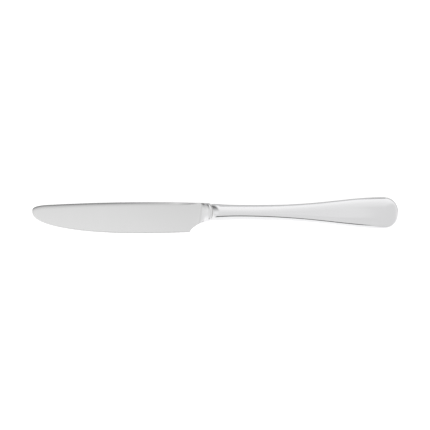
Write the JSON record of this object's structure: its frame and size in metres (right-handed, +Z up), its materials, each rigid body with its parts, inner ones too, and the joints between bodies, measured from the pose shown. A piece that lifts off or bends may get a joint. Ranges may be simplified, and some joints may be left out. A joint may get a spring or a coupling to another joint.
{
  "type": "dessert knife",
  "caption": "Polished steel dessert knife with a round-tipped arched blade, a raised bolster and a hollow handle that widens to a rounded end, lying on its side.",
  "frame": {"origin": "on the table, under the middle of the knife's overall length and breadth as it lies on its side", "axes": "+X from the tip towards the handle's end, +Y from the cutting edge towards the spine, +Z up from the table, square to the blade's middle plane"},
  "size_m": [0.21, 0.0212, 0.0084],
  "materials": {
    "blade_steel": "ground and polished martensitic stainless steel",
    "handle_steel": "mirror-polished pressed stainless steel",
    "braze": "silver brazing alloy, polished flush with the steel",
    "cement": "cast hard cement, hidden inside the handle"
  },
  "bodies": {
    "root": {"blade": "blade_steel", "handle_shell_front": "handle_steel", "handle_shell_back": "handle_steel", "shell_seam_braze": "braze", "bolster_braze": "braze", "handle_filler": "cement"}
  },
  "joints": []
}
